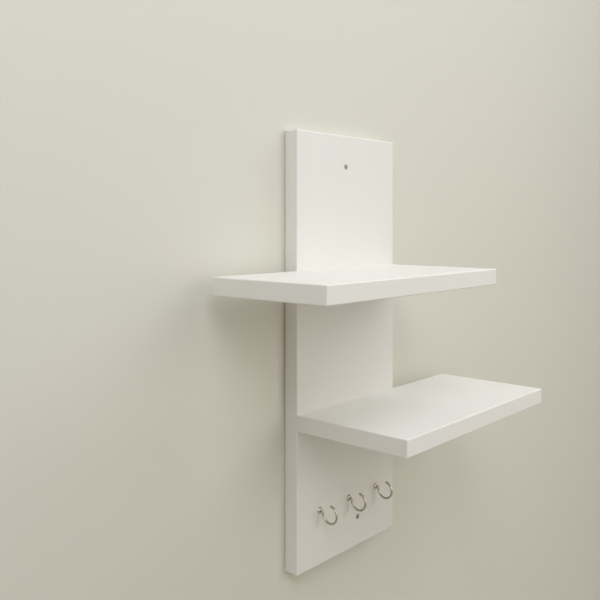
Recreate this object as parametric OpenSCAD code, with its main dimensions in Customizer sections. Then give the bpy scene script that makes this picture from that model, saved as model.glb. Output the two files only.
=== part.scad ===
// Wall key holder: an upright backboard that is screwed to the wall, two staggered shelves that
// butt against its front face, and a row of three open cup hooks near its lower edge.
// Sizes are in millimetres. +X points right as seen from the room, +Y into the wall and +Z up.
// The origin lies on the wall plane, in the middle of the backboard's back face.

/* [Backboard] */
// Width of the backboard
board_w = 150; // [120:1:240]
// Height of the backboard
board_h = 400; // [345:1:600]
// Thickness of the backboard
board_t = 15; // [14:0.5:22]

/* [Shelves] */
// Width of each shelf from end to end
shelf_w = 250; // [160:1:400]
// Depth of each shelf, from the backboard to its front edge
shelf_d = 117; // [60:1:200]
// Thickness of each shelf
shelf_t = 15; // [12:0.5:22]
// Height of the upper shelf's top face above the bottom of the backboard
upper_shelf_h = 273; // [185:1:340]
// Height of the lower shelf's top face above the bottom of the backboard
lower_shelf_h = 144; // [90:1:230]
// Radius of the eased edges on the backboard and the shelves
edge_r = 1; // [0.4:0.1:2.5]

/* [Hooks] */
// Height of the hook shanks above the bottom of the backboard
hook_h = 50; // [44:0.1:62]
// Distance from one hook to the next
hook_pitch = 43.5; // [30:0.5:54]
// Thickness of the hook wire
wire_d = 2.1; // [1.6:0.1:2.2]
// Clear diameter inside the ring of a hook
ring_d = 14; // [10:0.5:18]
// Radius at which the wire turns down into the ring, on its centre line
neck_r = 1.2; // [1.1:0.1:3]
// Straight length of wire between the collar and the neck
neck_out = 1; // [0:0.1:4]
// Angle of the open end, from straight out, up and back over the ring
tip_angle = 80; // [65:1:120]
// Length of the screwed shank inside the backboard
hook_shank_l = 11; // [8:0.5:12]
// Length of the point on the screwed shank
hook_point_l = 3; // [2:0.1:5]

/* [Hook collars] */
// Diameter of the collar's rim, which lies on the backboard
collar_d = 6; // [5.5:0.1:10]
// Height of the collar from the backboard to its crown
collar_h = 1.8; // [1.4:0.1:3]
// Height of the straight rim below the dome
collar_rim_h = 0.5; // [0.3:0.1:0.8]
// Width of the flat crown round the wire
collar_crown_w = 0.5; // [0.3:0.1:0.9]
// Thickness of the stamped sheet
collar_wall = 0.4; // [0.3:0.05:0.6]

/* [Wall screws] */
// Distance of the upper wall screw below the top of the backboard
upper_fixing_drop = 30; // [15:0.5:50]
// Offset of the upper wall screw from the middle, to the right
upper_fixing_x = -4.5; // [-40:0.5:40]
// Height of the lower wall screw above the bottom of the backboard
lower_fixing_h = 28; // [12:0.5:32]
// Offset of the lower wall screw from the middle, to the right
lower_fixing_x = 14; // [-40:0.5:40]
// Head diameter of the wall screws
wall_head_d = 5; // [4.5:0.1:9]
// Outer thread diameter of the wall screws
wall_thread_d = 3; // [2.8:0.1:4]
// Shank diameter of the wall screws under the head
wall_shank_d = 2.3; // [1.8:0.1:2.6]
// Depth that the wall screws reach into the wall
wall_grip = 25; // [15:1:50]

/* [Shelf screws] */
// Distance of the shelf screws from the side edges of the backboard
shelf_screw_inset = 30; // [15:1:45]
// Head diameter of the shelf screws
shelf_head_d = 8; // [6.5:0.1:10]
// Outer thread diameter of the shelf screws
shelf_thread_d = 4; // [3.5:0.1:5]
// Shank diameter of the shelf screws under the head
shelf_shank_d = 3; // [2.5:0.1:3.4]
// Depth that the shelf screws reach into a shelf
shelf_grip = 30; // [15:1:50]

/* [Fits] */
// Clearance round each screw and hook shank in its hole
fit_gap = 0.05; // [0.02:0.01:0.2]
// Depth of the screw heads below the face that they are sunk into
head_sink = 0.3; // [0.1:0.05:0.6]
// Free depth past the point of each blind hole
hole_reserve = 1; // [0.5:0.1:2]

/* [Hidden] */
$fn = 64;

// Overshoot of cutting tools past the faces that they cut
cut = 1;

// Heights of the bottom and top edges, measured from the middle of the backboard
bottom_z = -board_h / 2;
top_z = board_h / 2;
front_y = -board_t;

// Shelves: the upper one is flush with the backboard's right side, the lower with its left
upper_shelf_z = bottom_z + upper_shelf_h - shelf_t / 2;
lower_shelf_z = bottom_z + lower_shelf_h - shelf_t / 2;
upper_shelf_x = board_w / 2 - shelf_w / 2;
lower_shelf_x = shelf_w / 2 - board_w / 2;
shelf_screw_x = board_w / 2 - shelf_screw_inset;

// Hooks: a quarter turn at the neck, then the ring, which bends the opposite way
hook_z = bottom_z + hook_h;
wire_r = wire_d / 2;
ring_r = ring_d / 2 + wire_r;
neck_x = collar_h + neck_out;
ring_x = neck_x + neck_r + ring_r;
wire_end_r = wire_r * 0.94;

// Collars: the dome is an arc from the rim to the crown, with its centre on the shank's axis
collar_r = collar_d / 2;
collar_bore_r = wire_r + fit_gap;
crown_r = collar_bore_r + collar_crown_w;
dome_z = (crown_r ^ 2 + collar_h ^ 2 - collar_r ^ 2 - collar_rim_h ^ 2)
    / (2 * (collar_h - collar_rim_h));
dome_r = norm([collar_r, collar_rim_h - dome_z]);

// Wall screws: positions on the backboard, and the thread that stands out behind it
fixing_at = [
    [upper_fixing_x, top_z - upper_fixing_drop],
    [lower_fixing_x, bottom_z + lower_fixing_h]
];
wall_screw_l = board_t - head_sink + wall_grip;
wall_thread_l = wall_grip - fit_gap;
wall_bore_d = wall_thread_d + 2 * fit_gap;

// Shelf screws: the shank crosses the backboard and the thread holds in the shelf
shelf_screw_l = board_t - head_sink + shelf_grip;
shelf_thread_l = shelf_grip - fit_gap;
shelf_bore_d = shelf_thread_d + 2 * fit_gap;

// Proportions that all the wood screws share
head_land = 0.3;
recess_share = 0.56;
recess_arm_share = 0.16;
recess_depth_share = 0.26;
point_share = 1.3;

// Finishes
lacquer = "#EAE8E1";
nickel = "#A7A49B";
zinc = "#9E9C95";

// Rectangle with its four corners rounded
module eased_rect(w, h, r) {
    square([w - 2 * r, h], center = true);
    square([w, h - 2 * r], center = true);
    for (sx = [-1, 1], sy = [-1, 1])
        translate([sx * (w / 2 - r), sy * (h / 2 - r)])
            circle(r);
}

// Block about its own centre with all of its edges rounded: three eased prisms, one along
// each axis, and what they have in common
module eased_block(w, d, h, r) {
    intersection() {
        linear_extrude(h, center = true)
            eased_rect(w, d, r);
        rotate([90, 0, 0])
            linear_extrude(d, center = true)
                eased_rect(w, h, r);
        rotate([90, 0, 90])
            linear_extrude(w, center = true)
                eased_rect(d, h, r);
    }
}

// Wood screw with a countersunk head, its flat top at the origin and its point along +Z
module wood_screw(head_d, shank_d, thread_d, length, thread_l) {
    cone_h = (head_d - shank_d) / 2;
    point_l = point_share * thread_d;
    difference() {
        rotate_extrude()
            polygon([
                [0, 0],
                [head_d / 2, 0],
                [head_d / 2, head_land],
                [shank_d / 2, head_land + cone_h],
                [shank_d / 2, length - thread_l],
                [thread_d / 2, length - thread_l],
                [thread_d / 2, length - point_l],
                [0, length]
            ]);
        for (turn = [0, 90])
            rotate(turn)
                cube(
                    [
                        head_d * recess_share,
                        head_d * recess_arm_share,
                        2 * head_d * recess_depth_share
                    ],
                    center = true
                );
    }
}

// Hole for such a screw in the board under its head, from the face along +Z
module sunk_hole(head_d, bore_d, depth) {
    mouth_r = head_d / 2 + fit_gap;
    seat_z = head_sink + head_land;
    cone_h = mouth_r - bore_d / 2;
    translate([0, 0, -cut])
        cylinder(h = cut + seat_z, r = mouth_r);
    translate([0, 0, seat_z])
        cylinder(h = cone_h, r1 = mouth_r, r2 = bore_d / 2);
    cylinder(h = depth + cut, d = bore_d);
}

// Blind hole for a screw's thread, from the face along +Z
module thread_hole(bore_d, depth) {
    translate([0, 0, -cut])
        cylinder(h = cut + depth, d = bore_d);
}

// Places a hook's side view on the backboard: X out of the board, Y up
module at_hook(column) {
    translate([column * hook_pitch, front_y, hook_z])
        rotate([90, 0, -90])
            children();
}

// Turns +Z into the wall, from a point on the backboard's front face
module into_wall(at) {
    translate([at[0], front_y, at[1]])
        rotate([-90, 0, 0])
            children();
}

// Turns +Z out of the wall, from a point on the backboard's back face
module out_of_wall(x, z) {
    translate([x, 0, z])
        rotate([90, 0, 0])
            children();
}

module backboard() {
    color(lacquer)
        difference() {
            translate([0, front_y / 2, 0])
                eased_block(board_w, board_t, board_h, edge_r);
            for (at = fixing_at)
                into_wall(at)
                    sunk_hole(wall_head_d, wall_bore_d, board_t);
            for (side = [-1, 1], z = [upper_shelf_z, lower_shelf_z])
                out_of_wall(side * shelf_screw_x, z)
                    sunk_hole(shelf_head_d, shelf_bore_d, board_t);
            for (column = [-1, 0, 1])
                at_hook(column)
                    rotate([0, -90, 0])
                        thread_hole(wire_d + 2 * fit_gap, hook_shank_l + hole_reserve);
        }
}

// Shelf with every edge eased except those of its back, which butts against the backboard
module shelf(x, z) {
    color(lacquer)
        difference() {
            translate([x, front_y - (shelf_d - edge_r) / 2, z])
                eased_block(shelf_w, shelf_d + edge_r, shelf_t, edge_r);
            translate([x - shelf_w / 2 - cut, front_y, z - shelf_t / 2 - cut])
                cube([shelf_w + 2 * cut, edge_r + cut, shelf_t + 2 * cut]);
            for (side = [-1, 1])
                translate([side * shelf_screw_x, front_y, z])
                    rotate([90, 0, 0])
                        thread_hole(shelf_bore_d, shelf_grip + hole_reserve);
        }
}

module upper_shelf() {
    shelf(upper_shelf_x, upper_shelf_z);
}

module lower_shelf() {
    shelf(lower_shelf_x, lower_shelf_z);
}

// Arc of wire in the XY plane, from the X axis through the given turn
module wire_arc(r, turn) {
    rotate_extrude(angle = turn)
        translate([r, 0])
            circle(wire_r);
}

// Straight wire along the X axis, from its point in the backboard to the neck
module hook_shank() {
    rotate([0, 90, 0]) {
        translate([0, 0, hook_point_l - hook_shank_l])
            cylinder(h = hook_shank_l - hook_point_l + neck_x, r = wire_r);
        translate([0, 0, -hook_shank_l])
            cylinder(h = hook_point_l, r1 = 0, r2 = wire_r);
    }
}

// One length of wire: pointed shank, neck that turns down, and open ring with a domed end
module hook(column) {
    color(nickel)
        at_hook(column) {
            hook_shank();
            translate([neck_x, -neck_r, 0])
                wire_arc(neck_r, 90);
            translate([ring_x, -neck_r, 0]) {
                rotate(180)
                    wire_arc(ring_r, 180 + tip_angle);
                rotate(tip_angle)
                    translate([ring_r, 0, 0])
                        rotate([90, 0, 0])
                            sphere(wire_end_r);
            }
        }
}

module hook_left() {
    hook(-1);
}

module hook_middle() {
    hook(0);
}

module hook_right() {
    hook(1);
}

// Half section of a domed cap about the Y axis, its base on the X axis
module cap_section(r, h, dome) {
    intersection() {
        square([r, h]);
        translate([0, dome_z])
            circle(dome);
    }
}

// Stamped cup that covers the hole at the foot of a hook and stops the wire
module collar(column) {
    color(nickel)
        at_hook(column)
            rotate([0, 90, 0])
                rotate_extrude()
                    difference() {
                        cap_section(collar_r, collar_h, dome_r);
                        cap_section(collar_r - collar_wall, collar_h - collar_wall, dome_r - collar_wall);
                        square([collar_bore_r, collar_h]);
                    }
}

module collar_left() {
    collar(-1);
}

module collar_middle() {
    collar(0);
}

module collar_right() {
    collar(1);
}

module wall_screw(at) {
    color(zinc)
        into_wall(at)
            translate([0, 0, head_sink])
                wood_screw(wall_head_d, wall_shank_d, wall_thread_d, wall_screw_l, wall_thread_l);
}

module wall_screw_upper() {
    wall_screw(fixing_at[0]);
}

module wall_screw_lower() {
    wall_screw(fixing_at[1]);
}

module shelf_screw(side, z) {
    color(zinc)
        out_of_wall(side * shelf_screw_x, z)
            translate([0, 0, head_sink])
                wood_screw(
                    shelf_head_d, shelf_shank_d, shelf_thread_d, shelf_screw_l, shelf_thread_l
                );
}

module upper_shelf_screw_left() {
    shelf_screw(-1, upper_shelf_z);
}

module upper_shelf_screw_right() {
    shelf_screw(1, upper_shelf_z);
}

module lower_shelf_screw_left() {
    shelf_screw(-1, lower_shelf_z);
}

module lower_shelf_screw_right() {
    shelf_screw(1, lower_shelf_z);
}

backboard();
upper_shelf();
lower_shelf();
hook_left();
hook_middle();
hook_right();
collar_left();
collar_middle();
collar_right();
wall_screw_upper();
wall_screw_lower();
upper_shelf_screw_left();
upper_shelf_screw_right();
lower_shelf_screw_left();
lower_shelf_screw_right();
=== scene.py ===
"""Wall key holder: lacquers the boards, bends the hooks, cuts the screw threads, sets the stage."""
import math

import bmesh
import bpy
from bpy.props import FloatProperty, FloatVectorProperty, PointerProperty
from bpy.types import Operator, Panel, PropertyGroup
from mathutils import Matrix, Vector


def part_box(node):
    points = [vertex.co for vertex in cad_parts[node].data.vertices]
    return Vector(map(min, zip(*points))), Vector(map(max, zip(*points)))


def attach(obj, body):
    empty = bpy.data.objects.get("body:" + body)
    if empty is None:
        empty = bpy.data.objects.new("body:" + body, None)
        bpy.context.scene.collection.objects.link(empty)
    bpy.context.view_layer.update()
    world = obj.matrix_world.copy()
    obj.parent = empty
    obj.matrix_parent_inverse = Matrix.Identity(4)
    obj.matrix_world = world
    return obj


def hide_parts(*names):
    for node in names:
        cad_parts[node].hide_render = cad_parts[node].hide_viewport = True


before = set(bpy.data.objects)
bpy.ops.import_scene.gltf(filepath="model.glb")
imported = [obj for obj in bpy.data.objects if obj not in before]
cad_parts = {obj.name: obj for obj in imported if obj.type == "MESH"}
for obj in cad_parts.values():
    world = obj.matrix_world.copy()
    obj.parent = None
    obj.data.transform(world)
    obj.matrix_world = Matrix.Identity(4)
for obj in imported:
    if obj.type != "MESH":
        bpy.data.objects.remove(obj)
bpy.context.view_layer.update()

bl_info = {
    "name": "Wall key holder",
    "version": (1, 0, 0),
    "blender": (4, 5, 0),
    "location": "3D View > Sidebar > Key holder",
    "description": "Finishes the boards, bends the hooks, cuts the threads and sets the stage",
    "category": "Object",
}

MM = 0.001
BODY = "root"

# Axes of the row frame that the pieces are placed by
RIGHT = Vector((1, 0, 0))
INTO_WALL = Vector((0, 1, 0))
UP = Vector((0, 0, 1))

# Each board with the axis across its thickness
BOARDS = {"backboard": INTO_WALL, "upper_shelf": UP, "lower_shelf": UP}
HOOK_SIDES = ("left", "middle", "right")
WALL_SCREWS = ("wall_screw_upper", "wall_screw_lower")
SHELF_SCREWS = (
    "upper_shelf_screw_left",
    "upper_shelf_screw_right",
    "lower_shelf_screw_left",
    "lower_shelf_screw_right",
)

# Normal of the plane that the paths of wires and screws lie in, before they are turned into place
PATH_NORMAL = Vector((0, 1, 0))

# Faces round a wire, across one pitch of a thread and along the domed end of a wire, and the
# longest turn between two points of a bend
TURN_STEPS = 32
PITCH_STEPS = 8
DOME_STEPS = 6
ARC_STEP = math.radians(4)

# Reach of the domed end of a wire, as a share of its radius
DOME_SHARE = 0.93

# Proportions of every wood screw: its point to the thread's diameter, its recess to the head's
# radius, and the broken edge and low dome of the head to the rim between them and the cone
POINT_SHARE = 1.3
RECESS_LENGTH_SHARE = 1.12
RECESS_WIDTH_SHARE = 0.36
RECESS_DEPTH_SHARE = 0.46
BROKEN_EDGE_SHARE = 1 / 3
HEAD_DOME_SHARE = 0.1

# Width of a recess's wedge at its far end to that at its start, and the half width of a thread's
# crest to the pitch
WEDGE_TAPER = 0.4
CREST_SHARE = 0.25

# Points nearer than this are one point, and edges sharper than this stay crisp
WELD = 0.001 * MM
CRISP = math.radians(32)

# A hole's wall lies nearer than this to the screw or collar in it, and deeper than this in a board
HOLE_MARGIN = 0.2 * MM
SKIN = 0.5 * MM

# Least share of a face's normal that points straight out, for a face of a board's front or back
FACING = 0.9

# Places of the three finishes in a board's list of materials
FACE, EDGE, HOLE = range(3)

# Colours, as they are written for the real finishes
LACQUER_WHITE = "#EAE8E2"
BARE_FIBRE = "#A98B68"
NICKEL = "#B8B3A4"
ZINC = "#B0AEA3"
WALL_PAINT = "#DDDBCF"
FLOOR_PAINT = "#E4E1D8"
BACKDROP = "#E6E3D9"
ROOM_LIGHT = "#FFECD9"
DAYLIGHT = "#EFF6FF"
LAMPLIGHT = "#FFFFF8"

# Sprayed coats: distance between thicker and thinner places, colour of a thin place as a share
# of the full one, and the drift of the roughness between them
CLOUD_SPACING = 60 * MM
THIN_COAT = 0.965
GLOSS_DRIFT = 0.06

# Refractive index of the lacquer and of the resin in fibreboard
RESIN_IOR = 1.5

# Bare fibreboard: colour of a dark fibre as a share of a pale one, and its matt roughness
DARK_FIBRE = 0.7
FIBRE_ROUGHNESS = 0.9

# Plated coats: colour of a dull mark as a share of a bright one, the roughness of dull and of
# bright marks as shares of the middle one, and the spacing and depth of each metal's marks
DULL_MARK = 0.86
DULL_ROUGHNESS = 1.35
BRIGHT_ROUGHNESS = 0.65
NICKEL_MARKS = (0.8 * MM, 0.002 * MM)
ZINC_MARKS = (0.5 * MM, 0.004 * MM)

# Rolled paint: its roughness, and the spacing and depth of the stipple on the wall and the floor
PAINT_ROUGHNESS = 0.85
WALL_STIPPLE = (2.5 * MM, 0.01 * MM)
FLOOR_STIPPLE = (4 * MM, 0.01 * MM)

# Width of the camera's sensor in millimetres
SENSOR_WIDTH = 36

# The stage's wall and its square floor, in metres
WALL_WIDTH = 6
WALL_HEIGHT = 2.75
FLOOR_SIDE = 4

# Places of the lamps round the holder: degrees to the right as seen from the room, degrees up,
# and the distance and the width in metres
LEFT_PLACE = (-40, 45, 1.5, 0.9)
SIDE_PLACE = (-60, 30, 1.0, 0.6)
TOP_PLACE = (45, 60, 1.5, 0.9)
RIGHT_PLACE = (70, 35, 3.0, 1.8)
FRONT_PLACE = (15, 15, 1.0, 0.6)
BACK_PLACE = (200, 35, 1.5, 0.9)

# Colour sockets of a Mix node, which shares their names with its number and vector sockets
MIX_FACTOR = 0
MIX_FIRST = 6
MIX_SECOND = 7
MIX_RESULT = 2


def linear(code):
    """Linear colour, with full alpha, of an sRGB hex code."""
    shares = [int(code[i:i + 2], 16) / 255 for i in (1, 3, 5)]
    return (*[s / 12.92 if s <= 0.04045 else ((s + 0.055) / 1.055) ** 2.4 for s in shares], 1.0)


def add_node(tree, kind, inputs=(), **settings):
    """Add a node, set its options, then set or link its inputs, given in order or by key."""
    node = tree.nodes.new(kind)
    for option, value in settings.items():
        setattr(node, option, value)
    pairs = inputs.items() if isinstance(inputs, dict) else enumerate(inputs)
    for key, value in pairs:
        if isinstance(value, bpy.types.NodeSocket):
            tree.links.new(value, node.inputs[key])
        else:
            node.inputs[key].default_value = value
    return node


def colour_setting(name, description, code):
    """Property of a colour, with its default as an sRGB hex code."""
    return FloatVectorProperty(
        name=name,
        description=description,
        subtype="COLOR",
        size=4,
        min=0,
        max=1,
        default=linear(code),
    )


def share_setting(name, description, default):
    """Property of a share from 0 to 1."""
    return FloatProperty(
        name=name, description=description, subtype="FACTOR", min=0, max=1, default=default
    )


def length_setting(name, description, default, low, high):
    """Property of a length, with its default and limits in millimetres."""
    return FloatProperty(
        name=name,
        description=description,
        subtype="DISTANCE",
        unit="LENGTH",
        precision=5,
        min=low * MM,
        max=high * MM,
        default=default * MM,
    )


def angle_setting(name, description, default):
    """Property of an angle, with its default in degrees."""
    return FloatProperty(
        name=name,
        description=description,
        subtype="ANGLE",
        unit="ROTATION",
        default=math.radians(default),
    )


def power_setting(name, description, default):
    """Property of a lamp's power in watts."""
    return FloatProperty(
        name=name, description=description, subtype="POWER", unit="POWER", min=0, default=default
    )


class BoardSettings(PropertyGroup):
    """Finish of the backboard and the shelves."""

    lacquer: colour_setting("Lacquer", "Colour of the satin lacquer", LACQUER_WHITE)
    roughness: share_setting("Roughness", "Roughness of the satin lacquer", 0.55)
    peel_spacing: length_setting(
        "Orange peel", "Distance between the dimples of the sprayed lacquer", 1.8, 0.2, 10
    )
    peel_depth: length_setting("Peel depth", "Depth of the dimples", 0.006, 0, 0.1)
    grain_spacing: length_setting(
        "Edge grain", "Distance between the fibres that show on the sawn edges", 0.5, 0.1, 5
    )
    grain_depth: length_setting("Grain depth", "Depth of the grain on the edges", 0.01, 0, 0.2)
    bare: colour_setting("Bare board", "Colour of the fibreboard in the holes", BARE_FIBRE)
    fibre_spacing: length_setting(
        "Fibres", "Distance between the fibres of the bare board", 0.4, 0.1, 5
    )
    fibre_depth: length_setting("Fibre depth", "Depth of the fluff in the holes", 0.05, 0, 0.5)


class MetalSettings(PropertyGroup):
    """Finish of the hooks, the collars and the screws."""

    nickel: colour_setting("Nickel", "Colour of the plating on hooks and collars", NICKEL)
    nickel_roughness: share_setting("Nickel roughness", "Roughness of the bright nickel", 0.1)
    zinc: colour_setting("Zinc", "Colour of the plating on the screws", ZINC)
    zinc_roughness: share_setting("Zinc roughness", "Roughness of the zinc", 0.36)


class HookSettings(PropertyGroup):
    """Sizes of a hook that its place on the board doesn't give."""

    bend: length_setting("Bend", "Radius of the bend where the wire turns down", 1.2, 1, 3)
    tip_angle: angle_setting("Tip", "Angle of the open end, from straight out, up and back", 80)
    thread: length_setting("Thread", "Length of the thread and its point", 9, 4, 11)
    pitch: length_setting("Pitch", "Distance from one turn to the next", 0.9, 0.5, 2)
    depth: length_setting("Depth", "Depth of the thread, which is cut into the wire", 0.3, 0.1, 0.5)
    point: length_setting("Point", "Length of the point", 3, 1, 5)


class WallScrewSettings(PropertyGroup):
    """Sizes of the wall screws that their place in the backboard doesn't give."""

    shank: length_setting("Shank", "Diameter of the plain shank", 2.3, 1, 5)
    thread: length_setting("Thread", "Outer diameter of the thread", 3, 2, 6)
    core: length_setting("Core", "Diameter between the turns of the thread", 1.9, 1, 5)
    pitch: length_setting("Pitch", "Distance from one turn to the next", 1.35, 0.5, 3)
    rim: length_setting("Rim", "Height of the straight rim of the head", 0.3, 0.1, 1)


class ShelfScrewSettings(PropertyGroup):
    """Sizes of the shelf screws that their place in the boards doesn't give."""

    shank: length_setting("Shank", "Diameter of the plain shank", 3, 1, 5)
    thread: length_setting("Thread", "Outer diameter of the thread", 4, 2, 6)
    core: length_setting("Core", "Diameter between the turns of the thread", 2.6, 1, 5)
    pitch: length_setting("Pitch", "Distance from one turn to the next", 1.8, 0.5, 3)
    rim: length_setting("Rim", "Height of the straight rim of the head", 0.3, 0.1, 1)


class StageSettings(PropertyGroup):
    """Place of the camera, the surfaces round the holder, and the light on it."""

    camera_place: FloatVectorProperty(
        name="Camera",
        description="Place of the lens, from the middle of the backboard's back face",
        subtype="XYZ",
        unit="LENGTH",
        size=3,
        default=(-0.5797, -0.4664, 0.1160),
    )
    camera_turn: angle_setting("Turn", "Turn of the level camera to the right", 48.41)
    focal_length: FloatProperty(
        name="Focal length",
        description=f"Focal length in millimetres, for a sensor {SENSOR_WIDTH} mm wide",
        min=10,
        max=200,
        default=45.42,
    )
    horizon: share_setting("Horizon", "Height of the horizon, as a share from the top", 0.3717)
    wall: colour_setting("Wall", "Colour of the wall", WALL_PAINT)
    floor: colour_setting("Floor", "Colour of the floor", FLOOR_PAINT)
    wall_gap: length_setting(
        "Wall gap", "Distance from the backboard to a wall that isn't quite flat", 0.5, 0.1, 3
    )
    floor_drop: FloatProperty(
        name="Floor drop",
        description="Depth of the floor below the middle of the backboard",
        unit="LENGTH",
        min=0.25,
        default=0.75,
    )
    left_power: power_setting("Left lamp", "Power of the lamp high on the left", 7.4)
    side_power: power_setting("Side lamp", "Power of the near lamp beside the left one", 1.1)
    top_power: power_setting("Top lamp", "Power of the highest lamp, on the right", 3.8)
    right_power: power_setting("Right lamp", "Power of the large lamp far to the right", 24.9)
    front_power: power_setting("Front lamp", "Power of the near lamp low in front", 2.3)
    back_power: power_setting(
        "Back lamp", "Power of the lamp behind the wall, for views from behind", 6.0
    )
    daylight: colour_setting("Daylight", "Colour of the higher lamps", DAYLIGHT)
    lamplight: colour_setting("Lamplight", "Colour of the low lamp in front", LAMPLIGHT)
    room_light: colour_setting("Room light", "Colour of the light from all sides", ROOM_LIGHT)
    room_strength: FloatProperty(
        name="Room light strength",
        description="Strength of the light that comes from all sides",
        min=0,
        default=0.231,
    )


def empty_material(name):
    """A new material without nodes, with its tree and its Object coordinates."""
    material = bpy.data.materials.new(name)
    material.use_nodes = True
    tree = material.node_tree
    tree.nodes.clear()
    return material, tree, add_node(tree, "ShaderNodeTexCoord").outputs["Object"]


def sprayed_lacquer(name, settings, spacing, depth):
    """Satin lacquer, sprayed on fibreboard. It gives the eye an even soft white, whose gloss
    breaks up a little: over orange peel on the faces, and over fine grain on the sawn edges."""
    material, tree, place = empty_material(name)
    clouds = add_node(
        tree, "ShaderNodeTexNoise", {"Vector": place, "Scale": 1 / CLOUD_SPACING, "Detail": 3.0}
    ).outputs["Fac"]
    thin = tuple(share * THIN_COAT for share in settings.lacquer[:3])
    tone = add_node(
        tree,
        "ShaderNodeMix",
        {MIX_FACTOR: clouds, MIX_FIRST: (*thin, 1.0), MIX_SECOND: settings.lacquer},
        data_type="RGBA",
    ).outputs[MIX_RESULT]
    gloss = add_node(
        tree,
        "ShaderNodeMapRange",
        {
            "Value": clouds,
            "To Min": settings.roughness + GLOSS_DRIFT,
            "To Max": settings.roughness - GLOSS_DRIFT,
        },
    ).outputs["Result"]
    relief = add_node(
        tree, "ShaderNodeTexNoise", {"Vector": place, "Scale": 1 / spacing, "Detail": 2.0}
    ).outputs["Fac"]
    normal = add_node(tree, "ShaderNodeBump", {"Distance": depth, "Height": relief})
    surface = add_node(
        tree,
        "ShaderNodeBsdfPrincipled",
        {
            "Base Color": tone,
            "Roughness": gloss,
            "IOR": RESIN_IOR,
            "Normal": normal.outputs["Normal"],
        },
    )
    add_node(tree, "ShaderNodeOutputMaterial", [surface.outputs["BSDF"]])
    return material


def bare_fibreboard(settings):
    """Medium-density fibreboard as a drill leaves it. It gives the eye a thin brown ring, matt
    and slightly fluffy, round the screws."""
    material, tree, place = empty_material("bare_fibreboard")
    fibres = add_node(
        tree,
        "ShaderNodeTexNoise",
        {"Vector": place, "Scale": 1 / settings.fibre_spacing, "Detail": 4.0},
    ).outputs["Fac"]
    dark = tuple(share * DARK_FIBRE for share in settings.bare[:3])
    tone = add_node(
        tree,
        "ShaderNodeMix",
        {MIX_FACTOR: fibres, MIX_FIRST: (*dark, 1.0), MIX_SECOND: settings.bare},
        data_type="RGBA",
    ).outputs[MIX_RESULT]
    normal = add_node(
        tree, "ShaderNodeBump", {"Distance": settings.fibre_depth, "Height": fibres}
    )
    surface = add_node(
        tree,
        "ShaderNodeBsdfPrincipled",
        {
            "Base Color": tone,
            "Roughness": FIBRE_ROUGHNESS,
            "IOR": RESIN_IOR,
            "Normal": normal.outputs["Normal"],
        },
    )
    add_node(tree, "ShaderNodeOutputMaterial", [surface.outputs["BSDF"]])
    return material


def plated_steel(name, colour, roughness, spacing, depth):
    """Steel with an electroplated coat: a clear reflection that the drawing or rolling marks of
    the steel below break up a little. The real marks are some hundredths of a millimetre apart,
    too fine to draw, so these are coarser."""
    material, tree, place = empty_material(name)
    marks = add_node(
        tree, "ShaderNodeTexNoise", {"Vector": place, "Scale": 1 / spacing, "Detail": 3.0}
    ).outputs["Fac"]
    dull = tuple(share * DULL_MARK for share in colour[:3])
    tone = add_node(
        tree,
        "ShaderNodeMix",
        {MIX_FACTOR: marks, MIX_FIRST: (*dull, 1.0), MIX_SECOND: colour},
        data_type="RGBA",
    ).outputs[MIX_RESULT]
    gloss = add_node(
        tree,
        "ShaderNodeMapRange",
        {
            "Value": marks,
            "To Min": roughness * DULL_ROUGHNESS,
            "To Max": roughness * BRIGHT_ROUGHNESS,
        },
    ).outputs["Result"]
    normal = add_node(tree, "ShaderNodeBump", {"Distance": depth, "Height": marks})
    surface = add_node(
        tree,
        "ShaderNodeBsdfPrincipled",
        {
            "Base Color": tone,
            "Metallic": 1.0,
            "Roughness": gloss,
            "Normal": normal.outputs["Normal"],
        },
    )
    add_node(tree, "ShaderNodeOutputMaterial", [surface.outputs["BSDF"]])
    return material


def nickel_plate(settings):
    """Bright nickel over drawn wire and stamped sheet. It gives the eye the dark, warm lines of
    the hooks, with a thin highlight along each bend."""
    return plated_steel(
        "bright_nickel_plate", settings.nickel, settings.nickel_roughness, *NICKEL_MARKS
    )


def zinc_plate(settings):
    """Zinc over thread-rolled steel. It gives the eye the dull grey dots of the screw heads,
    slightly cloudy, with a dark cross in each."""
    return plated_steel("zinc_plate", settings.zinc, settings.zinc_roughness, *ZINC_MARKS)


def matt_paint(name, colour, spacing, depth):
    """Matt emulsion paint with the low, even stipple of a roller. It gives the eye a calm, pale
    surface that takes the holder's soft shadows."""
    material, tree, place = empty_material(name)
    stipple = add_node(
        tree, "ShaderNodeTexNoise", {"Vector": place, "Scale": 1 / spacing, "Detail": 2.0}
    ).outputs["Fac"]
    normal = add_node(tree, "ShaderNodeBump", {"Distance": depth, "Height": stipple})
    surface = add_node(
        tree,
        "ShaderNodeBsdfPrincipled",
        {
            "Base Color": colour,
            "Roughness": PAINT_ROUGHNESS,
            "Normal": normal.outputs["Normal"],
        },
    )
    add_node(tree, "ShaderNodeOutputMaterial", [surface.outputs["BSDF"]])
    return material


def one_sided(material):
    """Open a wall's material from behind, so that the back of what hangs on it stays lit and in
    sight from there: for a ray that meets its back, and for all that such a ray meets later."""
    tree = material.node_tree
    output = next(node for node in tree.nodes if node.type == "OUTPUT_MATERIAL")
    paint = output.inputs["Surface"].links[0].from_socket
    behind = add_node(tree, "ShaderNodeNewGeometry").outputs["Backfacing"]
    passed = add_node(tree, "ShaderNodeLightPath").outputs["Transparent Depth"]
    either = add_node(tree, "ShaderNodeMath", [behind, passed], operation="ADD", use_clamp=True)
    clear = add_node(tree, "ShaderNodeBsdfTransparent")
    mixed = add_node(
        tree, "ShaderNodeMixShader", [either.outputs[0], paint, clear.outputs["BSDF"]]
    )
    tree.links.new(mixed.outputs["Shader"], output.inputs["Surface"])


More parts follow.
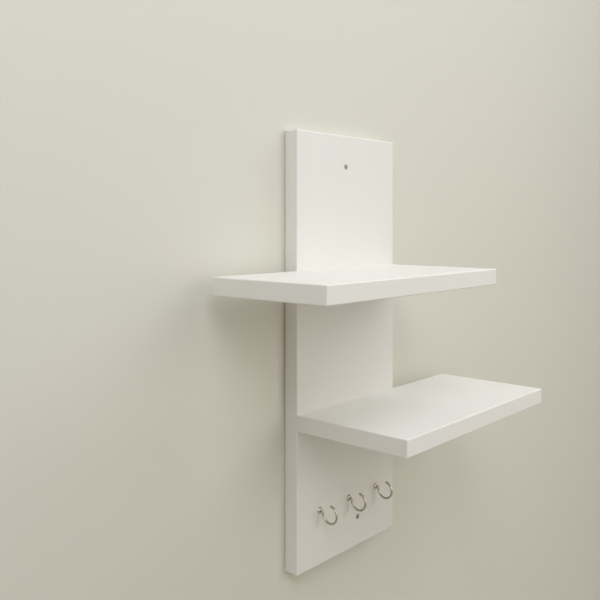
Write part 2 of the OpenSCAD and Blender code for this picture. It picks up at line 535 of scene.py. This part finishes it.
def new_tree(name, sockets):
    """A new Geometry Nodes tree with those inputs and one geometry output, and its input node."""
    tree = bpy.data.node_groups.new(name, "GeometryNodeTree")
    for label, kind in sockets.items():
        tree.interface.new_socket(label, in_out="INPUT", socket_type="NodeSocket" + kind)
    tree.interface.new_socket("Geometry", in_out="OUTPUT", socket_type="NodeSocketGeometry")
    return tree, add_node(tree, "NodeGroupInput").outputs


THREAD_SIZES = {
    "Shank Radius": "Float",
    "Core Radius": "Float",
    "Thread Radius": "Float",
    "Pitch": "Float",
    "Thread Length": "Float",
    "Run-In": "Float",
    "Point Length": "Float",
}


def thread_tree():
    """Node group of a screw thread along +Z, as one strip that winds round the axis with each
    turn welded to the next. Its start is an open ring on a shank, and its end a closed point."""
    tree, sizes = new_tree("Screw thread", THREAD_SIZES)
    length = sizes["Thread Length"]
    pitch = sizes["Pitch"]

    # The strip lies flat first: X counts its turns and Y goes across one pitch
    pitches = add_node(tree, "ShaderNodeMath", [length, pitch], operation="DIVIDE").outputs[0]
    whole = add_node(tree, "ShaderNodeMath", [pitches], operation="CEIL").outputs[0]
    turns = add_node(tree, "ShaderNodeMath", [whole, 1.0], operation="ADD").outputs[0]
    columns = add_node(
        tree, "ShaderNodeMath", [turns, TURN_STEPS, 1.0], operation="MULTIPLY_ADD"
    ).outputs[0]
    strip = add_node(
        tree,
        "GeometryNodeMeshGrid",
        {"Size X": 1.0, "Size Y": 1.0, "Vertices X": columns, "Vertices Y": PITCH_STEPS + 1},
    ).outputs["Mesh"]
    flat = add_node(tree, "GeometryNodeInputPosition").outputs[0]
    along, across, _ = add_node(tree, "ShaderNodeSeparateXYZ", [flat]).outputs
    turn = add_node(tree, "ShaderNodeMapRange", [along, -0.5, 0.5, 0.0, turns]).outputs[0]
    angle = add_node(tree, "ShaderNodeMath", [turn, math.tau], operation="MULTIPLY").outputs[0]

    # Height along the axis, held between the open ring and the point
    row = add_node(tree, "ShaderNodeMath", [turn, across], operation="ADD").outputs[0]
    row = add_node(tree, "ShaderNodeMath", [row, 0.5], operation="SUBTRACT").outputs[0]
    height = add_node(tree, "ShaderNodeMath", [row, pitch], operation="MULTIPLY").outputs[0]
    height = add_node(tree, "ShaderNodeClamp", [height, 0.0, length]).outputs[0]

    # Radius: the core, the crest in the middle of the strip, and the taper to the point
    run_in = sizes["Run-In"]
    side = add_node(tree, "ShaderNodeMath", [across], operation="ABSOLUTE").outputs[0]
    crest = add_node(tree, "ShaderNodeMapRange", [side, 0.0, CREST_SHARE, 1.0, 0.0]).outputs[0]
    grown = add_node(tree, "ShaderNodeMapRange", [height, 0.0, run_in, 0.0, 1.0]).outputs[0]
    core = add_node(
        tree,
        "ShaderNodeMapRange",
        [height, 0.0, run_in, sizes["Shank Radius"], sizes["Core Radius"]],
    ).outputs[0]
    depth = add_node(
        tree,
        "ShaderNodeMath",
        [sizes["Thread Radius"], sizes["Core Radius"]],
        operation="SUBTRACT",
    ).outputs[0]
    crest = add_node(tree, "ShaderNodeMath", [crest, grown], operation="MULTIPLY").outputs[0]
    radius = add_node(
        tree, "ShaderNodeMath", [crest, depth, core], operation="MULTIPLY_ADD"
    ).outputs[0]
    shoulder = add_node(
        tree, "ShaderNodeMath", [length, sizes["Point Length"]], operation="SUBTRACT"
    ).outputs[0]
    taper = add_node(tree, "ShaderNodeMapRange", [height, shoulder, length, 1.0, 0.0]).outputs[0]
    radius = add_node(tree, "ShaderNodeMath", [radius, taper], operation="MULTIPLY").outputs[0]

    # The strip is wound up, and its turns are welded
    cosine = add_node(tree, "ShaderNodeMath", [angle], operation="COSINE").outputs[0]
    sine = add_node(tree, "ShaderNodeMath", [angle], operation="SINE").outputs[0]
    x = add_node(tree, "ShaderNodeMath", [radius, cosine], operation="MULTIPLY").outputs[0]
    y = add_node(tree, "ShaderNodeMath", [radius, sine], operation="MULTIPLY").outputs[0]
    wound = add_node(tree, "ShaderNodeCombineXYZ", [x, y, height]).outputs[0]
    thread = add_node(
        tree, "GeometryNodeSetPosition", {"Geometry": strip, "Position": wound}
    ).outputs[0]
    welded = add_node(
        tree, "GeometryNodeMergeByDistance", {"Geometry": thread, "Distance": WELD}
    ).outputs[0]
    add_node(tree, "NodeGroupOutput", [welded])
    return tree


RECESS_SIZES = {
    "Head Place": "Float",
    "Recess Length": "Float",
    "Recess Width": "Float",
    "Recess Depth": "Float",
}


def threaded_wire_tree(thread):
    """Tree that makes a screw or a hook from its path, which starts at the origin, where the
    thread ends, and whose points hold the radius of the wire. A screw's head also gets its cross
    recess, cut by two tapered wedges."""
    sockets = {"Path": "Geometry", **THREAD_SIZES, **RECESS_SIZES, "Material": "Material"}
    tree, sizes = new_tree("Threaded wire", sockets)
    level = add_node(
        tree,
        "GeometryNodeSetCurveNormal",
        {"Curve": sizes["Path"], "Normal": PATH_NORMAL},
        mode="FREE",
    ).outputs[0]
    ring = add_node(
        tree, "GeometryNodeCurvePrimitiveCircle", {"Resolution": TURN_STEPS, "Radius": 1.0}
    ).outputs[0]
    radius = add_node(tree, "GeometryNodeInputRadius").outputs[0]
    wire = add_node(
        tree, "GeometryNodeCurveToMesh", {"Curve": level, "Profile Curve": ring, "Scale": radius}
    ).outputs[0]
    wound = add_node(
        tree,
        "GeometryNodeGroup",
        {label: sizes[label] for label in THREAD_SIZES},
        node_tree=thread,
    ).outputs[0]
    joined = add_node(tree, "GeometryNodeJoinGeometry", [wire])
    tree.links.new(wound, joined.inputs[0])
    whole = add_node(
        tree, "GeometryNodeMergeByDistance", {"Geometry": joined.outputs[0], "Distance": WELD}
    ).outputs[0]

    # Each wedge is a square spike, narrowed to the width of a slot, that starts above the head
    spike_radius = add_node(
        tree, "ShaderNodeMath", [sizes["Recess Length"], math.sqrt(0.5)], operation="MULTIPLY"
    ).outputs[0]
    spike_end = add_node(
        tree, "ShaderNodeMath", [spike_radius, WEDGE_TAPER], operation="MULTIPLY"
    ).outputs[0]
    height = add_node(
        tree, "ShaderNodeMath", [sizes["Recess Depth"], 2.0], operation="MULTIPLY"
    ).outputs[0]
    start = add_node(
        tree, "ShaderNodeMath", [sizes["Head Place"], sizes["Recess Depth"]], operation="ADD"
    ).outputs[0]
    start = add_node(tree, "ShaderNodeMath", [start, -1.0], operation="MULTIPLY").outputs[0]
    spike = add_node(
        tree,
        "GeometryNodeMeshCone",
        {
            "Vertices": 4,
            "Radius Bottom": spike_radius,
            "Radius Top": spike_end,
            "Depth": height,
        },
    ).outputs[0]
    square = add_node(
        tree, "GeometryNodeTransform", {"Geometry": spike, "Rotation": (0, 0, math.radians(45))}
    ).outputs[0]
    slim = add_node(
        tree,
        "ShaderNodeMath",
        [sizes["Recess Width"], sizes["Recess Length"]],
        operation="DIVIDE",
    ).outputs[0]
    scale = add_node(tree, "ShaderNodeCombineXYZ", [1.0, slim, 1.0]).outputs[0]
    lift = add_node(tree, "ShaderNodeCombineXYZ", [0.0, 0.0, start]).outputs[0]
    wedge = add_node(
        tree,
        "GeometryNodeTransform",
        {"Geometry": square, "Translation": lift, "Scale": scale},
    ).outputs[0]
    cut = add_node(
        tree, "GeometryNodeMeshBoolean", {"Mesh 1": whole}, operation="DIFFERENCE", solver="EXACT"
    )
    for quarter in (0, math.radians(90)):
        turned = add_node(
            tree, "GeometryNodeTransform", {"Geometry": wedge, "Rotation": (0, 0, quarter)}
        ).outputs[0]
        tree.links.new(turned, cut.inputs["Mesh 2"])
    has_recess = add_node(
        tree, "ShaderNodeMath", [sizes["Recess Length"], 0.0], operation="GREATER_THAN"
    ).outputs[0]
    chosen = add_node(
        tree, "GeometryNodeSwitch", [has_recess, whole, cut.outputs[0]], input_type="GEOMETRY"
    ).outputs[0]

    finished = add_node(
        tree, "GeometryNodeSetMaterial", {"Geometry": chosen, "Material": sizes["Material"]}
    ).outputs[0]
    add_node(tree, "NodeGroupOutput", [finished])
    return tree


def tree_for_wire():
    """The tree for screws and hooks, which is built once."""
    return bpy.data.node_groups.get("Threaded wire") or threaded_wire_tree(thread_tree())


def arc(centre, radius, first, second, sweep):
    """Points of an arc from the first direction towards the second, without its start."""
    steps = math.ceil(sweep / ARC_STEP)
    angles = [sweep * (i + 1) / steps for i in range(steps)]
    return [centre + radius * (first * math.cos(a) + second * math.sin(a)) for a in angles]


def wire_mesh(name, points, radii, sizes):
    """Plain mesh of a threaded wire: the tree runs on a carrier, which is then removed."""
    path = bpy.data.curves.new(name, "CURVE")
    path.dimensions = "3D"
    spline = path.splines.new("POLY")
    spline.points.add(len(points) - 1)
    for knot, point, radius in zip(spline.points, points, radii):
        knot.co = (*point, 1.0)
        knot.radius = radius
    carrier = bpy.data.objects.new(name, path)
    bpy.context.scene.collection.objects.link(carrier)
    modifier = carrier.modifiers.new("Threaded wire", "NODES")
    modifier.node_group = tree_for_wire()
    for socket in modifier.node_group.interface.items_tree:
        if socket.in_out == "INPUT" and socket.name in sizes:
            modifier[socket.identifier] = sizes[socket.name]
    graph = bpy.context.evaluated_depsgraph_get()
    mesh = bpy.data.meshes.new_from_object(carrier.evaluated_get(graph))
    mesh.name = name
    bpy.data.objects.remove(carrier)
    bpy.data.curves.remove(path)

    shell = bmesh.new()
    shell.from_mesh(mesh)
    bmesh.ops.remove_doubles(shell, verts=shell.verts, dist=WELD)
    bmesh.ops.recalc_face_normals(shell, faces=shell.faces)
    if any(not edge.is_manifold for edge in shell.edges):
        raise RuntimeError(f"{name} isn't closed")
    shell.to_mesh(mesh)
    shell.free()
    mesh.shade_smooth()
    mesh.set_sharp_from_angle(angle=CRISP)
    return mesh


def place_piece(mesh, origin, point, node):
    """Put a mesh whose +Z is the way of its screw point into the row frame, for that CAD node."""
    turn = Matrix((UP, point.cross(UP), point)).transposed().to_4x4()
    mesh.transform(Matrix.Translation(origin) @ turn)
    piece = bpy.data.objects.new(mesh.name, mesh)
    bpy.context.scene.collection.objects.link(piece)
    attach(piece, BODY)
    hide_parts(node)


def screw_path(head_radius, shank_radius, rim, height):
    """Path and radii of a countersunk screw from the start of its thread back to its head. The
    head has a broken edge, and a very low dome that closes its top."""
    broken_edge = BROKEN_EDGE_SHARE * rim
    dome = HEAD_DOME_SHARE * rim
    cone = head_radius - shank_radius
    profile = [
        (0, shank_radius),
        (height - rim - cone, shank_radius),
        (height - rim, head_radius),
        (height - broken_edge - dome, head_radius),
        (height - dome, head_radius - broken_edge),
        (height, 0),
    ]
    return [-rise * UP for rise, _ in profile], [radius for _, radius in profile]


def build_screws(nodes, settings, face, point):
    """One threaded screw for each CAD screw. Its thread starts at that face of the backboard."""
    metal = bpy.context.scene.key_holder_metal
    finish = bpy.data.materials.get("zinc_plate") or zinc_plate(metal)
    for node in nodes:
        low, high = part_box(node)
        middle = (low + high) / 2
        ends = sorted((low.y, high.y), key=lambda y: y * point.y)
        head_radius = (high.x - low.x) / 2
        height = abs(face - ends[0])
        points, radii = screw_path(head_radius, settings.shank / 2, settings.rim, height)
        sizes = {
            "Shank Radius": settings.shank / 2,
            "Core Radius": settings.core / 2,
            "Thread Radius": settings.thread / 2,
            "Pitch": settings.pitch,
            "Thread Length": abs(ends[1] - face),
            "Run-In": settings.pitch,
            "Point Length": POINT_SHARE * settings.thread,
            "Head Place": height,
            "Recess Length": RECESS_LENGTH_SHARE * head_radius,
            "Recess Width": RECESS_WIDTH_SHARE * head_radius,
            "Recess Depth": RECESS_DEPTH_SHARE * head_radius,
            "Material": finish,
        }
        mesh = wire_mesh("threaded_" + node, points, radii, sizes)
        origin = Vector((middle.x, face, middle.z))
        place_piece(mesh, origin, point, node)


def hook_path(wire_radius, ring_radius, bend, shank, tip_angle):
    """Path and radii of a hook from the start of its thread: the shank out of the board, the bend
    down, the open ring forward and up, and the domed end."""
    out = -UP
    down = -RIGHT
    bend_start = shank * out
    points = [Vector(), bend_start]
    points += arc(bend_start + bend * down, bend, -down, out, math.radians(90))
    middle = points[-1] + ring_radius * out
    sweep = math.radians(180) + tip_angle
    points += arc(middle, ring_radius, -out, down, sweep)
    radii = [wire_radius] * len(points)
    end = points[-1]
    onward = out * math.sin(sweep) + down * math.cos(sweep)
    for step in range(1, DOME_STEPS + 1):
        angle = math.radians(90) * step / DOME_STEPS
        points.append(end + wire_radius * DOME_SHARE * math.sin(angle) * onward)
        radii.append(wire_radius * math.cos(angle))
    return points, radii


class KEYHOLDER_OT_set_stage(Operator):
    """Hang the camera, the lamps, the wall and the floor round the holder"""

    bl_idname = "key_holder.set_stage"
    bl_label = "Set the stage"

    def execute(self, context):
        stage = context.scene.key_holder_stage
        context.scene.view_settings.view_transform = "Standard"

        camera = bpy.data.objects.new("camera", bpy.data.cameras.new("camera"))
        camera.data.sensor_width = SENSOR_WIDTH
        camera.data.lens = stage.focal_length
        camera.data.shift_y = stage.horizon - 0.5
        camera.location = stage.camera_place
        camera.rotation_euler = (math.radians(90), 0, -stage.camera_turn)
        context.scene.collection.objects.link(camera)
        context.scene.camera = camera

        emulsion = matt_paint("wall_emulsion", stage.wall, *WALL_STIPPLE)
        one_sided(emulsion)
        foot = -stage.floor_drop * UP
        wall_foot = foot + stage.wall_gap * INTO_WALL
        add_sheet("wall", wall_foot, WALL_WIDTH * RIGHT, WALL_HEIGHT * UP, emulsion)
        floor_paint = matt_paint("floor_paint", stage.floor, *FLOOR_STIPPLE)
        floor_edge = foot - FLOOR_SIDE / 2 * INTO_WALL
        add_sheet("floor", floor_edge, FLOOR_SIDE * RIGHT, FLOOR_SIDE * INTO_WALL, floor_paint)

        add_lamp("left_lamp", LEFT_PLACE, stage.left_power, stage.daylight)
        add_lamp("side_lamp", SIDE_PLACE, stage.side_power, stage.daylight)
        add_lamp("top_lamp", TOP_PLACE, stage.top_power, stage.daylight)
        add_lamp("right_lamp", RIGHT_PLACE, stage.right_power, stage.daylight)
        add_lamp("front_lamp", FRONT_PLACE, stage.front_power, stage.lamplight)
        add_lamp("back_lamp", BACK_PLACE, stage.back_power, stage.daylight)
        light_from_all_sides(stage.room_light, stage.room_strength)
        return {"FINISHED"}


def add_sheet(name, middle, across, away, paint):
    """A painted flat surface of the stage, from the middle of its near edge."""
    near = middle - across / 2
    mesh = bpy.data.meshes.new(name)
    mesh.from_pydata([near, near + across, near + across + away, near + away], [], [(0, 1, 2, 3)])
    mesh.materials.append(paint)
    sheet = bpy.data.objects.new(name, mesh)
    bpy.context.scene.collection.objects.link(sheet)


def add_lamp(name, place, power, colour):
    """A round soft lamp at that place, which faces the holder."""
    azimuth, elevation, distance, width = place
    lamp = bpy.data.lights.new(name, "AREA")
    lamp.shape = "DISK"
    lamp.size = width
    lamp.energy = power
    lamp.color = colour[:3]
    stand = bpy.data.objects.new(name, lamp)
    turn = Matrix.Rotation(math.radians(azimuth), 3, "Z") @ Matrix.Rotation(
        math.radians(-elevation), 3, "X"
    )
    stand.location = turn @ (-distance * INTO_WALL)
    stand.rotation_euler = (-stand.location).to_track_quat("-Z", "Y").to_euler()
    stand.visible_camera = False
    bpy.context.scene.collection.objects.link(stand)


def light_from_all_sides(colour, strength):
    """World light, which the camera and the metal see as a pale backdrop."""
    world = bpy.data.worlds.new("room")
    bpy.context.scene.world = world
    world.use_nodes = True
    tree = world.node_tree
    tree.nodes.clear()
    path = add_node(tree, "ShaderNodeLightPath").outputs
    seen = add_node(
        tree, "ShaderNodeMath", [path["Is Camera Ray"], path["Is Glossy Ray"]], operation="MAXIMUM"
    ).outputs[0]
    seen = add_node(
        tree, "ShaderNodeMath", [seen, path["Is Transmission Ray"]], operation="MAXIMUM"
    ).outputs[0]
    light = add_node(tree, "ShaderNodeBackground", [colour, strength])
    backdrop = add_node(tree, "ShaderNodeBackground", [linear(BACKDROP), 1.0])
    mixed = add_node(
        tree, "ShaderNodeMixShader", [seen, light.outputs[0], backdrop.outputs[0]]
    )
    add_node(tree, "ShaderNodeOutputWorld", [mixed.outputs[0]])


class KEYHOLDER_OT_finish_boards(Operator):
    """Lacquer the faces and the edges of the boards, and leave the walls of their holes bare"""

    bl_idname = "key_holder.finish_boards"
    bl_label = "Finish the boards"

    def execute(self, context):
        settings = context.scene.key_holder_boards
        finishes = [
            sprayed_lacquer(
                "satin_lacquer_faces", settings, settings.peel_spacing, settings.peel_depth
            ),
            sprayed_lacquer(
                "satin_lacquer_edges", settings, settings.grain_spacing, settings.grain_depth
            ),
            bare_fibreboard(settings),
        ]
        holes = [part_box(node) for node in (*WALL_SCREWS, *SHELF_SCREWS)]
        holes += [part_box("collar_" + side) for side in HOOK_SIDES]
        for node, across in BOARDS.items():
            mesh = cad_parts[node].data
            low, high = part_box(node)
            mesh.materials.clear()
            for finish in finishes:
                mesh.materials.append(finish)
            for polygon in mesh.polygons:
                if in_hole(polygon, low, high, holes):
                    polygon.material_index = HOLE
                elif abs(polygon.normal.dot(across)) < math.cos(math.radians(45)):
                    polygon.material_index = EDGE
                else:
                    polygon.material_index = FACE
        return {"FINISHED"}


def in_hole(polygon, low, high, holes):
    """Whether a face of a board is the wall, the seat or the floor of one of its holes."""
    centre = polygon.center
    depth = min(centre.y - low.y, high.y - centre.y)
    if abs(polygon.normal.y) > FACING and depth < SKIN:
        return False
    for hole_low, hole_high in holes:
        reach = (hole_high.x - hole_low.x) / 2 + HOLE_MARGIN
        axis = (hole_low + hole_high) / 2
        if math.hypot(centre.x - axis.x, centre.z - axis.z) < reach:
            return True
    return False


class KEYHOLDER_OT_bend_hooks(Operator):
    """Bend the three cup hooks from threaded wire, and plate them and their collars"""

    bl_idname = "key_holder.bend_hooks"
    bl_label = "Bend the hooks"

    def execute(self, context):
        settings = context.scene.key_holder_hooks
        finish = nickel_plate(context.scene.key_holder_metal)
        for side in HOOK_SIDES:
            collar_low, collar_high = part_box("collar_" + side)
            low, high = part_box("hook_" + side)
            shank_height = (collar_low.z + collar_high.z) / 2
            wire_radius = (high.x - low.x) / 2
            ring_radius = shank_height - settings.bend - low.z - wire_radius
            bend_y = low.y + wire_radius + 2 * ring_radius + settings.bend
            thread_y = high.y - settings.thread
            points, radii = hook_path(
                wire_radius, ring_radius, settings.bend, thread_y - bend_y, settings.tip_angle
            )
            sizes = {
                "Shank Radius": wire_radius,
                "Core Radius": wire_radius - settings.depth,
                "Thread Radius": wire_radius,
                "Pitch": settings.pitch,
                "Thread Length": settings.thread,
                "Run-In": settings.pitch,
                "Point Length": settings.point,
                "Material": finish,
            }
            mesh = wire_mesh("wire_hook_" + side, points, radii, sizes)
            origin = Vector(((low.x + high.x) / 2, thread_y, shank_height))
            place_piece(mesh, origin, INTO_WALL, "hook_" + side)
            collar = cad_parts["collar_" + side].data
            collar.materials.clear()
            collar.materials.append(finish)
        return {"FINISHED"}


class KEYHOLDER_OT_cut_wall_screws(Operator):
    """Make the screws that go through the backboard into the wall"""

    bl_idname = "key_holder.cut_wall_screws"
    bl_label = "Cut the wall screws"

    def execute(self, context):
        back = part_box("backboard")[1].y
        screws = context.scene.key_holder_wall_screws
        build_screws(WALL_SCREWS, screws, back, INTO_WALL)
        return {"FINISHED"}


class KEYHOLDER_OT_cut_shelf_screws(Operator):
    """Make the screws that hold the shelves from behind the backboard"""

    bl_idname = "key_holder.cut_shelf_screws"
    bl_label = "Cut the shelf screws"

    def execute(self, context):
        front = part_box("backboard")[0].y
        screws = context.scene.key_holder_shelf_screws
        build_screws(SHELF_SCREWS, screws, front, -INTO_WALL)
        return {"FINISHED"}


class KEYHOLDER_PT_sidebar(Panel):
    """Sizes, colours and steps of the wall key holder"""

    bl_idname = "KEYHOLDER_PT_sidebar"
    bl_label = "Wall key holder"
    bl_space_type = "VIEW_3D"
    bl_region_type = "UI"
    bl_category = "Key holder"

    def draw(self, context):
        for settings in SETTINGS:
            box = self.layout.box()
            group = getattr(context.scene, settings)
            for name in group.__annotations__:
                box.prop(group, name)
        for step in STEPS:
            self.layout.operator(step.bl_idname)


SETTINGS = {
    "key_holder_stage": StageSettings,
    "key_holder_boards": BoardSettings,
    "key_holder_metal": MetalSettings,
    "key_holder_hooks": HookSettings,
    "key_holder_wall_screws": WallScrewSettings,
    "key_holder_shelf_screws": ShelfScrewSettings,
}
STEPS = (
    KEYHOLDER_OT_set_stage,
    KEYHOLDER_OT_finish_boards,
    KEYHOLDER_OT_bend_hooks,
    KEYHOLDER_OT_cut_wall_screws,
    KEYHOLDER_OT_cut_shelf_screws,
)


def register():
    """Register the settings, the steps and the panel."""
    for name, group in SETTINGS.items():
        bpy.utils.register_class(group)
        setattr(bpy.types.Scene, name, PointerProperty(type=group))
    for step in (*STEPS, KEYHOLDER_PT_sidebar):
        bpy.utils.register_class(step)


def unregister():
    """Remove the panel, the steps and the settings."""
    for step in (KEYHOLDER_PT_sidebar, *reversed(STEPS)):
        bpy.utils.unregister_class(step)
    for name, group in SETTINGS.items():
        delattr(bpy.types.Scene, name)
        bpy.utils.unregister_class(group)


def main():
    """Register the add-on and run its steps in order."""
    register()
    bpy.ops.key_holder.set_stage()
    bpy.ops.key_holder.finish_boards()
    bpy.ops.key_holder.bend_hooks()
    bpy.ops.key_holder.cut_wall_screws()
    bpy.ops.key_holder.cut_shelf_screws()


if __name__ == "__main__":
    main()
